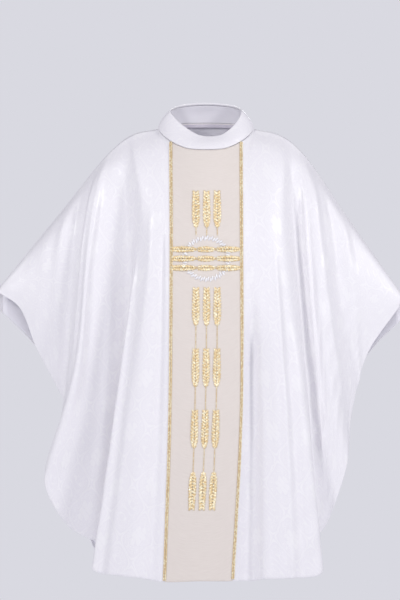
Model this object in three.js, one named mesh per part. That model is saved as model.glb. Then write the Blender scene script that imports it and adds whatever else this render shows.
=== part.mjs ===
// A gothic chasuble of white damask with a cream centre band, gold braid, wheat-ear embroidery and a
// standing funnel collar, as it hangs on a wearer whose arms are held down and out.
// Millimetres, +Z up. The origin is at the middle of the neck on the line of the shoulders, the front
// faces -Y, and +X is on the right of someone who looks at the front.
//
// The cloth is laid out as a tailor sees it: fold lines leave the shoulder seam or the neckline and
// run down to the hem. Each has four stations: its top, and its place at chest, knee and hem height.

import * as THREE from "three";

// ---- Body of the vestment ----
const LENGTH = 1270; // shoulder at the neck down to the lowest hem
const REACH = 578; // centre plane to the wrist, longer arm
const REACH_SHORT = 552; // centre plane to the wrist, shorter arm
const WRIST_DROP = 442; // the longer arm's wrist below the shoulder
const WRIST_DROP_SHORT = 466;
const SHOULDER = 262; // centre plane to the point of the shoulder
const SHOULDER_DROP = 58;
const NECK_SLOPE = { out: 5, drop: 0.26 }; // how the seam bows between neck and shoulder
const ELBOW = 0.47; // share of the seam from the shoulder to the wrist
const CLOTH = 1.4; // damask with its backing
const LINING = 0.6;
const EASE = 1.6; // room between shell and lining
const LINING_SHORT = 6; // the lining stops this far above the hem
const LINING_TOP = 1; // and starts this far below the shoulder seam or the stay tape
const SEAM = 0.3; // between two pieces that are sewn edge to edge
const SHOULDER_SEAM = 0.25; // each face lies this far from the middle of the shoulder seam

// ---- Neck and collar ----
const NECK_WIDTH = 266;
const NECK_FRONT = 80; // shoulder line forward to the front of the neckline
const NECK_BACK = 83;
const NECK_DIP = 59; // the front of the neckline below the shoulder
const NECK_RISE = 15; // the back of the neckline above the shoulder
const COLLAR_SIDE = 45; // height of the collar over its own seam, at the sides
const COLLAR_FRONT = 34;
const COLLAR_BACK = 55;
const COLLAR_LEAN = 32; // how far the rim leans in from the seam
const COLLAR_ROLL = 5; // belly of the collar between seam and rim
const COLLAR_PLY = 1; // outside and facing
const COLLAR_CLEAR = 2; // foot of the collar above the neckline
const INTERLINING = 0.6;
const STAY_TAPE = { width: 10, thick: 0.8, inset: 5.5, below: 1 };

// ---- Band, braid and embroidery ----
const BAND_WIDTH = 196; // between the seams under the two braids
const BRAID = { width: 9, thick: 1.5, raise: 1.1, below: 5 };
const RAISE = 0.9; // underside of the embroidery over the band
const EAR = { length: LENGTH * 0.0819, width: 21, crown: 1.4, grains: 4 };
const GRAIN = { foot: 0.82, narrow: 0.8, thin: 0.75 }; // where a grain ends, and how its top steps in
const STEM = { length: LENGTH * 0.0528, width: 3.5, crown: 0.8 };
const STEM_END = 3; // a stem stops this far before the next ear
const TIP_STEM = 23; // the short stems of the first three ears
const EDGE_CROWN = 0.35; // height of the satin stitch at its edges, as a share of its crown
const COLUMN_PITCH = 28;
const RING = { centre: LENGTH * 0.2504, radius: BAND_WIDTH * 0.296, width: 12.5, crown: 1.2, edge: 0.5 };
const RING_FOOT = RING.centre + RING.radius + RING.width / 2;
const RING_TOP = RING.centre - RING.radius - RING.width / 2;
const FIRST_EARS = RING_TOP - 0.8 - TIP_STEM - EAR.length; // neckline down to the first three ears
const LONG_EARS = RING_FOOT + 18.8; // neckline down to the three long columns
const CREAM_WIDTH = BAND_WIDTH - BRAID.width; // of the band, between the two braids
const ROW = {
  pitch: 26,
  width: 18,
  ear: CREAM_WIDTH * 0.315,
  middle: CREAM_WIDTH * 0.206,
  stem: CREAM_WIDTH * 0.0695,
  grains: 3,
};
const OVER_RING = { rise: 1.7, before: 9, slope: 7 }; // how a row climbs over the ring

// ---- Fineness ----
const SPLIT = 2; // columns between two fold lines
const BAND_SPLIT = 4; // columns between the band's edge and its middle
const ROWS = 11;
const COLLAR_STEPS = 28;
const COLLAR_ROWS = 3;
const RING_STEPS = 24;
const HALVINGS = 30; // of the neckline, to find a place on it

const DAMASK = { color: 0xebe9f2, roughness: 0.55, metalness: 0 };
const CREAM = { color: 0xe6dfd8, roughness: 0.8, metalness: 0 };
const LINING_CLOTH = { color: 0xdcd8e4, roughness: 0.75, metalness: 0 };
const CANVAS = { color: 0xe2ddd0, roughness: 0.95, metalness: 0 };
const GOLD_THREAD = { color: 0xe0bf78, roughness: 0.35, metalness: 0.85 };
const WHITE_THREAD = { color: 0xf4f2ee, roughness: 0.45, metalness: 0 };

const FRONT = -1; // y direction that a face looks in
const BACK = 1;
const SHOULDER_PLANE = 8; // the shoulder seams lie a little behind the middle of the neck

const chasuble = new THREE.Group();

function addNode(name, geometry, finish) {
  const mesh = new THREE.Mesh(geometry, new THREE.MeshStandardMaterial(finish));
  mesh.name = name;
  chasuble.add(mesh);
}

// ---- Closed bodies from two grids of points, an outer face and an inner face ----
// grid[c][r]: columns run from the viewer's left to right, rows run down.

function slab(outer, inner, wrapped = false) {
  const columns = outer.length;
  const rows = outer[0].length;
  const corners = [...outer.flat(), ...inner.flat()];
  const out = (c, r) => (c % columns) * rows + r;
  const into = (c, r) => columns * rows + out(c, r);
  const faces = [];
  const quad = (a, b, c, d) => faces.push(a, b, c, a, c, d);
  const lastColumn = wrapped ? columns : columns - 1;
  for (let c = 0; c < lastColumn; c++) {
    for (let r = 0; r < rows - 1; r++) {
      quad(out(c, r), out(c, r + 1), out(c + 1, r + 1), out(c + 1, r));
      faces.push(into(c, r), into(c + 1, r + 1), into(c, r + 1));
      faces.push(into(c, r), into(c + 1, r), into(c + 1, r + 1));
    }
    quad(out(c, 0), out(c + 1, 0), into(c + 1, 0), into(c, 0));
    const end = rows - 1;
    quad(out(c + 1, end), out(c, end), into(c, end), into(c + 1, end));
  }
  for (let r = 0; r < rows - 1 && !wrapped; r++) {
    const last = columns - 1;
    quad(out(0, r + 1), out(0, r), into(0, r), into(0, r + 1));
    quad(out(last, r), out(last, r + 1), into(last, r + 1), into(last, r));
  }
  const geometry = new THREE.BufferGeometry().setFromPoints(corners);
  geometry.setIndex(faces);
  return geometry;
}

function offset(grid, normals, distance) {
  return grid.map((column, c) =>
    column.map((point, r) => point.clone().addScaledVector(normals[c][r], distance)),
  );
}

function normalsOf(grid, wrapped = false) {
  const columns = grid.length;
  const rows = grid[0].length;
  const beside = (c) => (wrapped ? (c + columns) % columns : THREE.MathUtils.clamp(c, 0, columns - 1));
  return grid.map((column, c) =>
    column.map((point, r) => {
      const down = column[Math.min(r + 1, rows - 1)].clone().sub(column[Math.max(r - 1, 0)]);
      const across = grid[beside(c + 1)][r].clone().sub(grid[beside(c - 1)][r]);
      return down.cross(across).normalize();
    }),
  );
}

const between = (a, b, share) => a.clone().lerp(b, share);
const towards = (a, b, distance) => between(a, b, distance / a.distanceTo(b));

// ---- The neckline and the shoulder seams ----

// Half of the neckline from its front to its back: share of the half width, then of the distance
// forward or back, then of the dip or rise.
const NECK_SHAPE = [
  [0, -1, -1],
  [0.41, -0.88, -0.8],
  [0.74, -0.56, -0.5],
  [0.93, -0.22, -0.2],
  [1, 0.1, 0],
  [0.93, 0.46, 0.4],
  [0.74, 0.75, 0.73],
  [0.41, 0.94, 0.93],
  [0, 1, 1],
];
const NECK_POINTS = 2 * (NECK_SHAPE.length - 1);
const SIDE_OF_NECK = NECK_POINTS / 4;

function neckPoint(share, side) {
  const [out, along, rise] = share;
  const y = along < 0 ? along * NECK_FRONT : along * NECK_BACK;
  const z = rise < 0 ? rise * NECK_DIP : rise * NECK_RISE;
  return new THREE.Vector3((side * out * NECK_WIDTH) / 2, y, z);
}

const neckline = new THREE.CatmullRomCurve3(
  [
    ...NECK_SHAPE.map((share) => neckPoint(share, 1)),
    ...NECK_SHAPE.slice(1, -1)
      .reverse()
      .map((share) => neckPoint(share, -1)),
  ],
  true,
);

// place runs from 0 at the side of the neck to 1 at the middle of the front or back.
function onNeckline(place, side, face) {
  const step = (SIDE_OF_NECK * (1 + face * place)) / NECK_POINTS;
  const point = neckline.getPoint(step);
  point.x *= side;
  return point;
}

function neckPlaceAt(distance, face) {
  let low = 0;
  let high = 1;
  for (let i = 0; i < HALVINGS; i++) {
    const middle = (low + high) / 2;
    if (onNeckline(middle, 1, face).x > distance) low = middle;
    else high = middle;
  }
  return low;
}

function shoulderSeam(reach, drop) {
  const halfNeck = NECK_WIDTH / 2;
  const slopeOut = (halfNeck + SHOULDER) / 2 + NECK_SLOPE.out;
  return new THREE.CatmullRomCurve3([
    new THREE.Vector3(halfNeck, SHOULDER_PLANE, 0),
    new THREE.Vector3(slopeOut, SHOULDER_PLANE, -SHOULDER_DROP * NECK_SLOPE.drop),
    new THREE.Vector3(SHOULDER, SHOULDER_PLANE, -SHOULDER_DROP),
    new THREE.Vector3(
      SHOULDER + (reach - SHOULDER) * ELBOW,
      SHOULDER_PLANE,
      -SHOULDER_DROP - (drop - SHOULDER_DROP) * ELBOW,
    ),
    new THREE.Vector3(reach, SHOULDER_PLANE, -drop),
  ]);
}

const SEAM_LEFT = shoulderSeam(REACH, WRIST_DROP);
const SEAM_RIGHT = shoulderSeam(REACH_SHORT, WRIST_DROP_SHORT);
const seamOf = (side) => (side < 0 ? SEAM_LEFT : SEAM_RIGHT);

// top: 0..1 along the shoulder seam from neck to wrist, or 0..-1 along the neckline to the middle.
function topPoint(top, side, face) {
  if (top < 0) return onNeckline(-top, side, face);
  const point = seamOf(side).getPointAt(top);
  point.x *= side;
  point.y += face * SHOULDER_SEAM;
  return point;
}

// The way the cloth faces on the seam itself: square to the seam, with no lean forward or back, so
// that front and back meet on one flat cut.
function seamNormal(top, side) {
  const tangent = seamOf(side).getTangentAt(top);
  return new THREE.Vector3(-tangent.z * side, 0, tangent.x).normalize();
}

// ---- Fold lines ----
// Each is [top, chest, knee, hem]. A station is [flare outwards from the top point, distance that it
// stands forward of the shoulder seam, or behind it on the back, share of LENGTH below the top point].

const AT_NECK = 0;
const bandPlace = (face) => -neckPlaceAt(BAND_WIDTH / 2, face);

const FRONT_LEFT = [
  [1, [-2, 14, 0.006], [-4, 19, 0.013], [-7, 22, 0.021]],
  [0.64, [13, 40, 0.05], [30, 48, 0.16], [46, 38, 0.27]],
  [0.34, [45, 68, 0.154], [85, 74, 0.358], [102, 58, 0.547]],
  [0.27, [45, 98, 0.2], [80, 123, 0.49], [169, 113, 0.715]],
  [0.23, [38, 83, 0.213], [70, 100, 0.551], [115, 90, 0.83]],
  [0.17, [-13, 73, 0.233], [5, 93, 0.603], [50, 108, 0.89]],
  [0.12, [-23, 118, 0.193], [45, 163, 0.634], [104, 178, 0.956]],
  [0.06, [-15, 141, 0.224], [35, 183, 0.625], [75, 204, 0.976]],
  [AT_NECK, [-5, 151, 0.236], [17, 188, 0.63], [47, 210, 0.992]],
  [bandPlace(FRONT), [-1, 158, 0.212], [3, 194, 0.606], [18, 209, 0.974]],
];
const FRONT_MIDDLE = [-1, [2, 165, 0.19], [-2, 198, 0.583], [-21, 214, 0.954]];
const FRONT_RIGHT = [
  [1, [-2, 14, 0.006], [-5, 19, 0.013], [-10, 22, 0.02]],
  [0.64, [12, 40, 0.073], [21, 48, 0.176], [32, 38, 0.282]],
  [0.34, [35, 68, 0.152], [75, 74, 0.357], [97, 58, 0.546]],
  [0.27, [23, 98, 0.198], [67, 123, 0.521], [114, 108, 0.671]],
  [0.23, [23, 86, 0.216], [58, 103, 0.57], [74, 98, 0.818]],
  [0.17, [18, 74, 0.213], [58, 98, 0.606], [72, 110, 0.878]],
  [0.12, [12, 116, 0.209], [72, 163, 0.618], [116, 178, 0.961]],
  [0.06, [4, 141, 0.224], [39, 183, 0.625], [60, 204, 0.982]],
  [AT_NECK, [-2, 151, 0.236], [12, 188, 0.63], [17, 211, 0.994]],
  [bandPlace(FRONT), [1, 158, 0.212], [0, 194, 0.606], [-24, 212, 0.972]],
];
const BACK_SIDE = [
  [1, [6, 14, 0.014], [8, 18, 0.03], [6, 20, 0.046]],
  [0.64, [22, 40, 0.06], [40, 52, 0.17], [50, 45, 0.28]],
  [0.3, [50, 90, 0.2], [95, 120, 0.45], [125, 110, 0.66]],
  [0.2, [10, 95, 0.22], [50, 110, 0.55], [95, 110, 0.86]],
  [0.12, [0, 130, 0.2], [50, 170, 0.6], [90, 180, 0.95]],
  [AT_NECK, [-5, 150, 0.22], [17, 180, 0.6], [45, 192, 0.985]],
  [bandPlace(BACK), [0, 158, 0.2], [2, 184, 0.6], [4, 196, 0.998]],
];
const BACK_MIDDLE = [-1, [0, 162, 0.2], [0, 188, 0.6], [0, 200, 1.0]];

// Fold lines of a whole face, from the viewer's left to right, each with its side and stations.
function faceLines(leftLines, middleLine, rightLines, face) {
  const leftSide = face === FRONT ? -1 : 1;
  const placed = (line, side) => {
    const [top, ...stations] = line;
    const start = topPoint(top, side, face);
    const points = stations.map(([flare, stand, fall]) => {
      const x = start.x + (side || 1) * flare;
      const y = face * stand + SHOULDER_PLANE;
      return new THREE.Vector3(x, y, start.z - fall * LENGTH);
    });
    return { top, side, points };
  };
  return [
    ...leftLines.map((line) => placed(line, leftSide)),
    placed(middleLine, 0),
    ...rightLines.map((line) => placed(line, -leftSide)).reverse(),
  ];
}

// Places of the columns, counted in fold lines.
function columnPlaces(lines) {
  const places = [0];
  for (let span = 0; span < lines.length - 1; span++) {
    const inBand = lines[span].side === 0 || lines[span + 1].side === 0;
    const parts = inBand ? BAND_SPLIT : SPLIT;
    for (let i = 1; i <= parts; i++) places.push(span + i / parts);
  }
  return places;
}

function faceGrid(lines, face) {
  const leftSide = face === FRONT ? -1 : 1;
  const spans = lines.length - 1;
  const across = [0, 1, 2].map(
    (s) => new THREE.CatmullRomCurve3(lines.map((line) => line.points[s]), false, "centripetal"),
  );
  const grid = [];
  const tops = [];
  for (const place of columnPlaces(lines)) {
    const before = lines[Math.floor(place)];
    const after = lines[Math.ceil(place)];
    const top = THREE.MathUtils.lerp(before.top, after.top, place % 1);
    const side = place < lines.findIndex((line) => line.side === 0) ? leftSide : -leftSide;
    const stations = across.map((curve) => curve.getPoint(place / spans));
    const column = new THREE.CatmullRomCurve3([topPoint(top, side, face), ...stations], false, "centripetal");
    grid.push(Array.from({ length: ROWS + 1 }, (_, r) => column.getPointAt(r / ROWS)));
    tops.push({ top, side });
  }
  const normals = normalsOf(grid);
  tops.forEach(({ top, side }, c) => {
    if (top >= 0) normals[c][0] = seamNormal(top, side);
  });
  return { grid, normals, atNeck: tops.map(({ top }) => top < 0) };
}

// ---- Pieces cut from a face ----

// Columns first..last of a face, with an edge that is sewn to a neighbour moved in by half a seam.
function cut(sheet, first, last, sewnFirst, sewnLast) {
  const grid = sheet.grid.slice(first, last + 1).map((column) => column.map((point) => point.clone()));
  const normals = sheet.normals.slice(first, last + 1);
  const end = grid.length - 1;
  if (sewnFirst) grid[0] = grid[0].map((point, r) => towards(point, grid[1][r], SEAM / 2));
  if (sewnLast) grid[end] = grid[end].map((point, r) => towards(point, grid[end - 1][r], SEAM / 2));
  return { grid, normals };
}

function layer(piece, outer, inner) {
  return slab(offset(piece.grid, piece.normals, outer), offset(piece.grid, piece.normals, inner));
}

// The lining stops short of the wrists and the hem, and starts under the stay tape at the neckline.
function liningOf(sheet) {
  const piece = cut(sheet, 1, sheet.grid.length - 2, false, false);
  const underTape = STAY_TAPE.below + STAY_TAPE.width + LINING_TOP;
  piece.grid.forEach((column, c) => {
    column[0] = towards(column[0], column[1], sheet.atNeck[c + 1] ? underTape : LINING_TOP);
    column[ROWS] = towards(column[ROWS], column[ROWS - 1], LINING_SHORT);
  });
  const outer = -CLOTH - EASE;
  return layer(piece, outer, outer - LINING);
}

// A braid covers the seam at one column of the face, half of it on each side of the seam.
function braidOver(sheet, column) {
  const half = BRAID.width / 2;
  const place = (neighbour) =>
    sheet.grid[column].map((point, r) =>
      neighbour === column ? point.clone() : towards(point, sheet.grid[neighbour][r], half),
    );
  const grid = [place(column - 1), place(column), place(column + 1)];
  const normals = grid.map(() => sheet.normals[column]);
  grid.forEach((strip) => {
    strip[0] = towards(strip[0], strip[1], BRAID.below);
  });
  return layer({ grid, normals }, BRAID.raise + BRAID.thick, BRAID.raise);
}

// ---- The band's own layout: across from its middle, and down from the neckline ----

// The point of a column, and the way the cloth faces there, at one height.
function atHeight(column, normals, z) {
  const lower = column.findIndex((point) => point.z <= z);
  const r = THREE.MathUtils.clamp(lower - 1, 0, ROWS - 1);
  const share = (column[r].z - z) / (column[r].z - column[r + 1].z);
  const normal = between(normals[r], normals[r + 1], share);
  return { point: between(column[r], column[r + 1], share), normal };
}

// The weft lies level, so a length down the middle of the band gives one height all across it.
function bandLayout(sheet, first, last) {
  const columns = sheet.grid.slice(first, last + 1);
  const normals = sheet.normals.slice(first, last + 1);
  const middle = columns[(columns.length - 1) / 2];
  const down = [0];
  middle.slice(1).forEach((point, r) => down.push(down[r] + point.distanceTo(middle[r])));
  return (across, length, lift) => {
    const lower = down.findIndex((value) => value >= length);
    const r = THREE.MathUtils.clamp(lower - 1, 0, ROWS - 1);
    const { z } = towards(middle[r], middle[r + 1], length - down[r]);
    const place = (across / BAND_WIDTH + 0.5) * (columns.length - 1);
    const c = THREE.MathUtils.clamp(Math.floor(place), 0, columns.length - 2);
    const near = atHeight(columns[c], normals[c], z);
    const far = atHeight(columns[c + 1], normals[c + 1], z);
    const normal = between(near.normal, far.normal, place - c).normalize();
    return between(near.point, far.point, place - c).addScaledVector(normal, lift);
  };
}

// ---- Embroidery: satin-stitched ears with stepped grains, on stems ----
// A run of stitching is a list of [distance along, half width, crown].

// An ear from its top, cut square, to its pointed base. Its edge steps in under each grain.
function earRun(start, length, width, grains) {
  const run = [];
  const fullness = (share) => 0.8 + 0.2 * Math.sin(Math.PI * share) - 0.62 * share ** 8;
  for (let g = 0; g < grains; g++) {
    const top = g / grains;
    const foot = (g + GRAIN.foot) / grains;
    run.push([start + top * length, (width / 2) * fullness(top) * GRAIN.narrow, EAR.crown * GRAIN.thin]);
    run.push([start + foot * length, (width / 2) * fullness(foot), EAR.crown]);
  }
  run.push([start + length, STEM.width / 2, STEM.crown]);
  return run;
}

function stemRun(end) {
  return [[end, STEM.width / 2, STEM.crown]];
}

// The same run turned end for end between start and start + length.
function turned(run, start, length) {
  return run.map(([along, half, crown]) => [2 * start + length - along, half, crown]).reverse();
}

// Lays a run on the band: place(across the run, along the run, lift) gives the point.
function stitched(run, place) {
  const upper = [-1, 0, 1].map((edge) =>
    run.map(([along, half, crown]) => place(edge * half, along, edge === 0 ? crown : crown * EDGE_CROWN)),
  );
  const lower = [-1, 0, 1].map((edge) => run.map(([along, half]) => place(edge * half, along, 0)));
  return slab(upper, lower);
}

function longColumnRun() {
  const run = [];
  let start = LONG_EARS;
  for (let ear = 0; ear < 3; ear++) {
    run.push(...earRun(start, EAR.length, EAR.width, EAR.grains));
    start += EAR.length + STEM.length;
    run.push(...stemRun(start - STEM_END));
  }
  const last = earRun(start, EAR.length, EAR.width, EAR.grains);
  return [...run, ...turned(last, start, EAR.length)];
}

function firstEarRun() {
  const run = earRun(FIRST_EARS, EAR.length, EAR.width, EAR.grains);
  return [...run, ...stemRun(FIRST_EARS + EAR.length + TIP_STEM)];
}

// One row that crosses the whole band: an ear, a short middle ear and an ear, joined by stems.
function rowRun() {
  const total = 2 * ROW.ear + ROW.middle + 2 * ROW.stem;
  const run = [];
  let start = -total / 2;
  [ROW.ear, ROW.middle, ROW.ear].forEach((length, i) => {
    run.push(...earRun(start, length, ROW.width, ROW.grains));
    start += length + ROW.stem;
    if (i < 2) run.push(...stemRun(start - STEM_END));
  });
  return run;
}

function ringGeometry(onBand) {
  const inner = RING.radius - RING.width / 2;
  const place = (step, radius, lift) => {
    const angle = (2 * Math.PI * step) / RING_STEPS;
    return onBand(radius * Math.cos(angle), RING.centre - radius * Math.sin(angle), RAISE + lift);
  };
  const steps = Array.from({ length: RING_STEPS }, (_, step) => step);
  const radii = [inner + RING.width, RING.radius, inner];
  const crownAt = (i) => (i === 1 ? RING.crown : RING.edge);
  const upper = steps.map((step) => radii.map((radius, i) => place(-step, radius, crownAt(i))));
  const lower = steps.map((step) => radii.map((radius) => place(-step, radius, 0)));
  return slab(upper, lower, true);
}

// Extra height of a row where the ring lies under it.
function overRing(across, length) {
  const away = Math.abs(Math.hypot(across, length - RING.centre) - RING.radius);
  const clear = RING.width / 2 + OVER_RING.before;
  const near = clear + OVER_RING.slope - away;
  return OVER_RING.rise * THREE.MathUtils.smoothstep(near, 0, OVER_RING.slope);
}

function embroider(faceName, onBand) {
  ["left", "middle", "right"].forEach((where, i) => {
    const shift = (i - 1) * COLUMN_PITCH;
    const down = (across, along, lift) => onBand(shift + across, along, RAISE + lift);
    addNode(`${faceName}_first_ear_${where}`, stitched(firstEarRun(), down), GOLD_THREAD);
    addNode(`${faceName}_ear_column_${where}`, stitched(longColumnRun(), down), GOLD_THREAD);
  });
  ["upper", "middle", "lower"].forEach((where, i) => {
    const length = RING.centre + (i - 1) * ROW.pitch;
    const along = (across, distance, lift) => {
      const extra = overRing(distance, length - across);
      return onBand(distance, length - across, RAISE + lift + extra);
    };
    addNode(`${faceName}_ear_row_${where}`, stitched(rowRun(), along), GOLD_THREAD);
  });
  addNode(`${faceName}_host_ring`, ringGeometry(onBand), WHITE_THREAD);
}

// ---- The two faces of the vestment ----

function makeFace(faceName, leftLines, middleLine, rightLines, face) {
  const sheet = faceGrid(faceLines(leftLines, middleLine, rightLines, face), face);
  const last = sheet.grid.length - 1;
  const bandFirst = (leftLines.length - 1) * SPLIT;
  const bandLast = last - (rightLines.length - 1) * SPLIT;
  const [first, second] = face === FRONT ? ["left", "right"] : ["right", "left"];
  addNode(`${faceName}_panel_${first}`, layer(cut(sheet, 0, bandFirst, false, true), 0, -CLOTH), DAMASK);
  addNode(`${faceName}_panel_${second}`, layer(cut(sheet, bandLast, last, true, false), 0, -CLOTH), DAMASK);
  addNode(`${faceName}_band`, layer(cut(sheet, bandFirst, bandLast, true, true), 0, -CLOTH), CREAM);
  addNode(`${faceName}_lining`, liningOf(sheet), LINING_CLOTH);
  addNode(`${faceName}_braid_${first}`, braidOver(sheet, bandFirst), GOLD_THREAD);
  addNode(`${faceName}_braid_${second}`, braidOver(sheet, bandLast), GOLD_THREAD);
  embroider(faceName, bandLayout(sheet, bandFirst, bandLast));
}

makeFace("front", FRONT_LEFT, FRONT_MIDDLE, FRONT_RIGHT, FRONT);
makeFace("back", BACK_SIDE, BACK_MIDDLE, BACK_SIDE, BACK);

// ---- Collar: outside, interlining and facing, and the stay tape inside the neck seam ----

// Columns run from the viewer's left to right round the neck, rows from the rim down to the seam.
function collarGrid() {
  const steps = Array.from({ length: COLLAR_STEPS }, (_, step) => step);
  return steps.map((step) => {
    const seam = neckline.getPoint(step / COLLAR_STEPS);
    const inwards = new THREE.Vector3(-seam.x, -seam.y, 0).normalize();
    const towardsFront = THREE.MathUtils.clamp(-seam.y / NECK_FRONT, 0, 1);
    const towardsBack = THREE.MathUtils.clamp(seam.y / NECK_BACK, 0, 1);
    const height =
      COLLAR_SIDE + (COLLAR_FRONT - COLLAR_SIDE) * towardsFront + (COLLAR_BACK - COLLAR_SIDE) * towardsBack;
    return Array.from({ length: COLLAR_ROWS + 1 }, (_, r) => {
      const up = 1 - r / COLLAR_ROWS;
      const lean = COLLAR_LEAN * up - COLLAR_ROLL * Math.sin(Math.PI * up);
      const point = seam.clone().addScaledVector(inwards, lean);
      point.z += COLLAR_CLEAR + height * up;
      return point;
    });
  });
}

function makeCollar() {
  const grid = collarGrid();
  const normals = normalsOf(grid, true);
  const ply = (outer, inner) => slab(offset(grid, normals, outer), offset(grid, normals, inner), true);
  const core = INTERLINING / 2;
  addNode("collar_outside", ply(core + SEAM + COLLAR_PLY, core + SEAM), DAMASK);
  addNode("collar_interlining", ply(core, -core), CANVAS);
  addNode("collar_facing", ply(-core - SEAM, -core - SEAM - COLLAR_PLY), LINING_CLOTH);
}

function makeStayTape() {
  const steps = Array.from({ length: COLLAR_STEPS }, (_, step) => step);
  const ring = (inset) =>
    steps.map((step) => {
      const seam = neckline.getPoint(step / COLLAR_STEPS);
      const inwards = new THREE.Vector3(-seam.x, -seam.y, 0).normalize();
      const top = seam.addScaledVector(inwards, inset);
      top.z -= STAY_TAPE.below;
      return [top, top.clone().setZ(top.z - STAY_TAPE.width)];
    });
  const outer = ring(STAY_TAPE.inset);
  const inner = ring(STAY_TAPE.inset + STAY_TAPE.thick);
  addNode("neck_stay_tape", slab(outer, inner, true), CANVAS);
}

makeCollar();
makeStayTape();

export default chasuble;
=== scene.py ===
import math
from functools import partial

import bmesh
import bpy
import numpy as np
from mathutils import Matrix, Vector


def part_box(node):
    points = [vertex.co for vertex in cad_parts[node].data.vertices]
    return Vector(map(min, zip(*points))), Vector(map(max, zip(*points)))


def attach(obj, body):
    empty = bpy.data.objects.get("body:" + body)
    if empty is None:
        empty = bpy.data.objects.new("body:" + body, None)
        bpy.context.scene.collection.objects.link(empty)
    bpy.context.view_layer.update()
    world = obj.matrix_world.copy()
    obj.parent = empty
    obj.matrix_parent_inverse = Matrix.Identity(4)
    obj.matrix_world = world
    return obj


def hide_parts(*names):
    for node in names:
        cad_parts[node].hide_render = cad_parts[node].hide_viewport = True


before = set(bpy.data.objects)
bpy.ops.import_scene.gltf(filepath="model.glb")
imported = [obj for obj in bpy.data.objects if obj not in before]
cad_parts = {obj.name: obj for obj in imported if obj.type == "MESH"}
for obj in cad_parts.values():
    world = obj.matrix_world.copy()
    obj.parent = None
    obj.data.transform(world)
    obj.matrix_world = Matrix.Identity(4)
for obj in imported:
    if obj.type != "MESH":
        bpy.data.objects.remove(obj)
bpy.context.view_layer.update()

# A gothic chasuble of white damask, laid out as a tailor sees it: fold lines leave the shoulder seam
# or the neckline and run down to the hem, and the cloth is a smooth sheet through them.
# Metres, +Z up. The front faces -Y, and +X is on the right of someone who looks at the front.

MM = 0.001
FRONT = -1
BACK = 1

# ---- Driving sizes, from the frame where it holds them ----
REACH = {-1: -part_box("front_panel_left")[0].x, 1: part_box("front_panel_right")[1].x}
WRIST_DROP = {-1: 442 * MM, 1: 466 * MM}
SHOULDER = 262 * MM
SHOULDER_DROP = 58 * MM
NECK_SLOPE_OUT = 5 * MM  # how the seam bows between neck and shoulder
NECK_SLOPE_DROP = 0.26
ELBOW = 0.47  # share of the seam from the shoulder to the wrist
LENGTH = 1270 * MM
SEAM_PLANE = 8 * MM
SEAM_GAP = 0.2 * MM  # each face lies this far from the middle of the shoulder seam
NECK_HALF = 133 * MM
NECK_FRONT = 80 * MM
NECK_BACK = 83 * MM
NECK_DIP = 59 * MM
NECK_RISE = 15 * MM
BAND_HALF = 98 * MM
CLOTH = 1.2 * MM
LINING = 0.5 * MM
LINING_DEPTH = 3.1 * MM  # inside the outer face of the cloth
LINING_SHORT = 9 * MM
HEM_TURN = 24 * MM
HEM_INSIDE = 2.7 * MM  # the turned-up hem, inside the outer face of the cloth
COLLAR_CLOTH = 0.8 * MM
CANVAS = 0.5 * MM
TAPE_THICK = 0.7 * MM
TAPE_WIDTH = 10  # in mm
TAPE_BELOW = 1  # the tape's top below the neck seam, in mm
TAPE_INSET = 5.5 * MM
COLLAR_SIDE = 45 * MM
COLLAR_FRONT = 34 * MM
COLLAR_BACK = 55 * MM
COLLAR_LEAN = 32 * MM
COLLAR_ROLL = 5 * MM
COLLAR_CLEAR = 2 * MM
COLLAR_TWIST = 12 * MM  # the worn collar is turned a little to one side
EAR = 104 * MM
EAR_HALF = 10.5 * MM
EAR_GRAINS = 12  # rows of grains, a grain on each side
GRAIN_HALF = 1.5 * MM
GRAIN_LIFT = 1.3 * MM
STEM = 67 * MM
STEM_FOOT = 0.97  # share of an ear after which its stem comes out
STEM_PITCH = 3.2 * MM
TIP_STEM = 23 * MM
COLUMN_PITCH = 28 * MM
FIRST_EARS = 126 * MM
LONG_EARS = 401 * MM
RING_CENTRE = 318 * MM
RING_RADIUS = 58 * MM
RING_WIDTH = 12.5 * MM
RING_STITCHES = 60
ROW_PITCH = 26 * MM
ROW_EAR = 61 * MM
ROW_MIDDLE = 41 * MM
ROW_STEM = 10 * MM
ROW_HALF = 9 * MM
ROW_GRAIN = 6.5 * MM
ROW_STRANDS = 2.6 * MM  # between the three strands that join the ears of a row
OVER_RING = 1.7 * MM  # a row climbs this much where it crosses the ring
BRAID_PITCH = 4.2 * MM
BRAID_STRAND = 2.3 * MM  # from the middle of the braid to the middle of a strand

# ---- Smooth curves through points ----


def curve_through(points, at):
    """A smooth curve through the points, read at places counted in points from 0."""
    points = np.asarray(points, float)
    steps = np.sqrt(np.linalg.norm(np.diff(points, axis=0), axis=1)) + 1e-6
    rise = np.diff(points, axis=0) / steps[:, None]
    slopes = np.empty_like(points)
    slopes[0], slopes[-1] = rise[0], rise[-1]
    before, after = steps[:-1, None], steps[1:, None]
    slopes[1:-1] = (rise[:-1] * after + rise[1:] * before) / (before + after)
    at = np.asarray(at, float)
    i = np.clip(at.astype(int), 0, len(points) - 2)
    t = (at - i)[:, None]
    h = steps[i][:, None]
    return (
        (2 * t**3 - 3 * t**2 + 1) * points[i]
        + (t**3 - 2 * t**2 + t) * h * slopes[i]
        + (3 * t**2 - 2 * t**3) * points[i + 1]
        + (t**3 - t**2) * h * slopes[i + 1]
    )


def travelled_along(points):
    """Distance travelled along a polyline at each of its points."""
    return np.concatenate([[0], np.cumsum(np.linalg.norm(np.diff(points, axis=0), axis=1))])


def read_at(wanted, travelled, values):
    """Points or normals of a polyline at the wanted distances along it."""
    return np.stack([np.interp(wanted, travelled, values[:, k]) for k in range(3)], axis=-1)


def evenly(points, shares):
    """The points of a polyline at shares of its length."""
    travelled = travelled_along(points)
    return read_at(np.asarray(shares) * travelled[-1], travelled, points)


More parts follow.
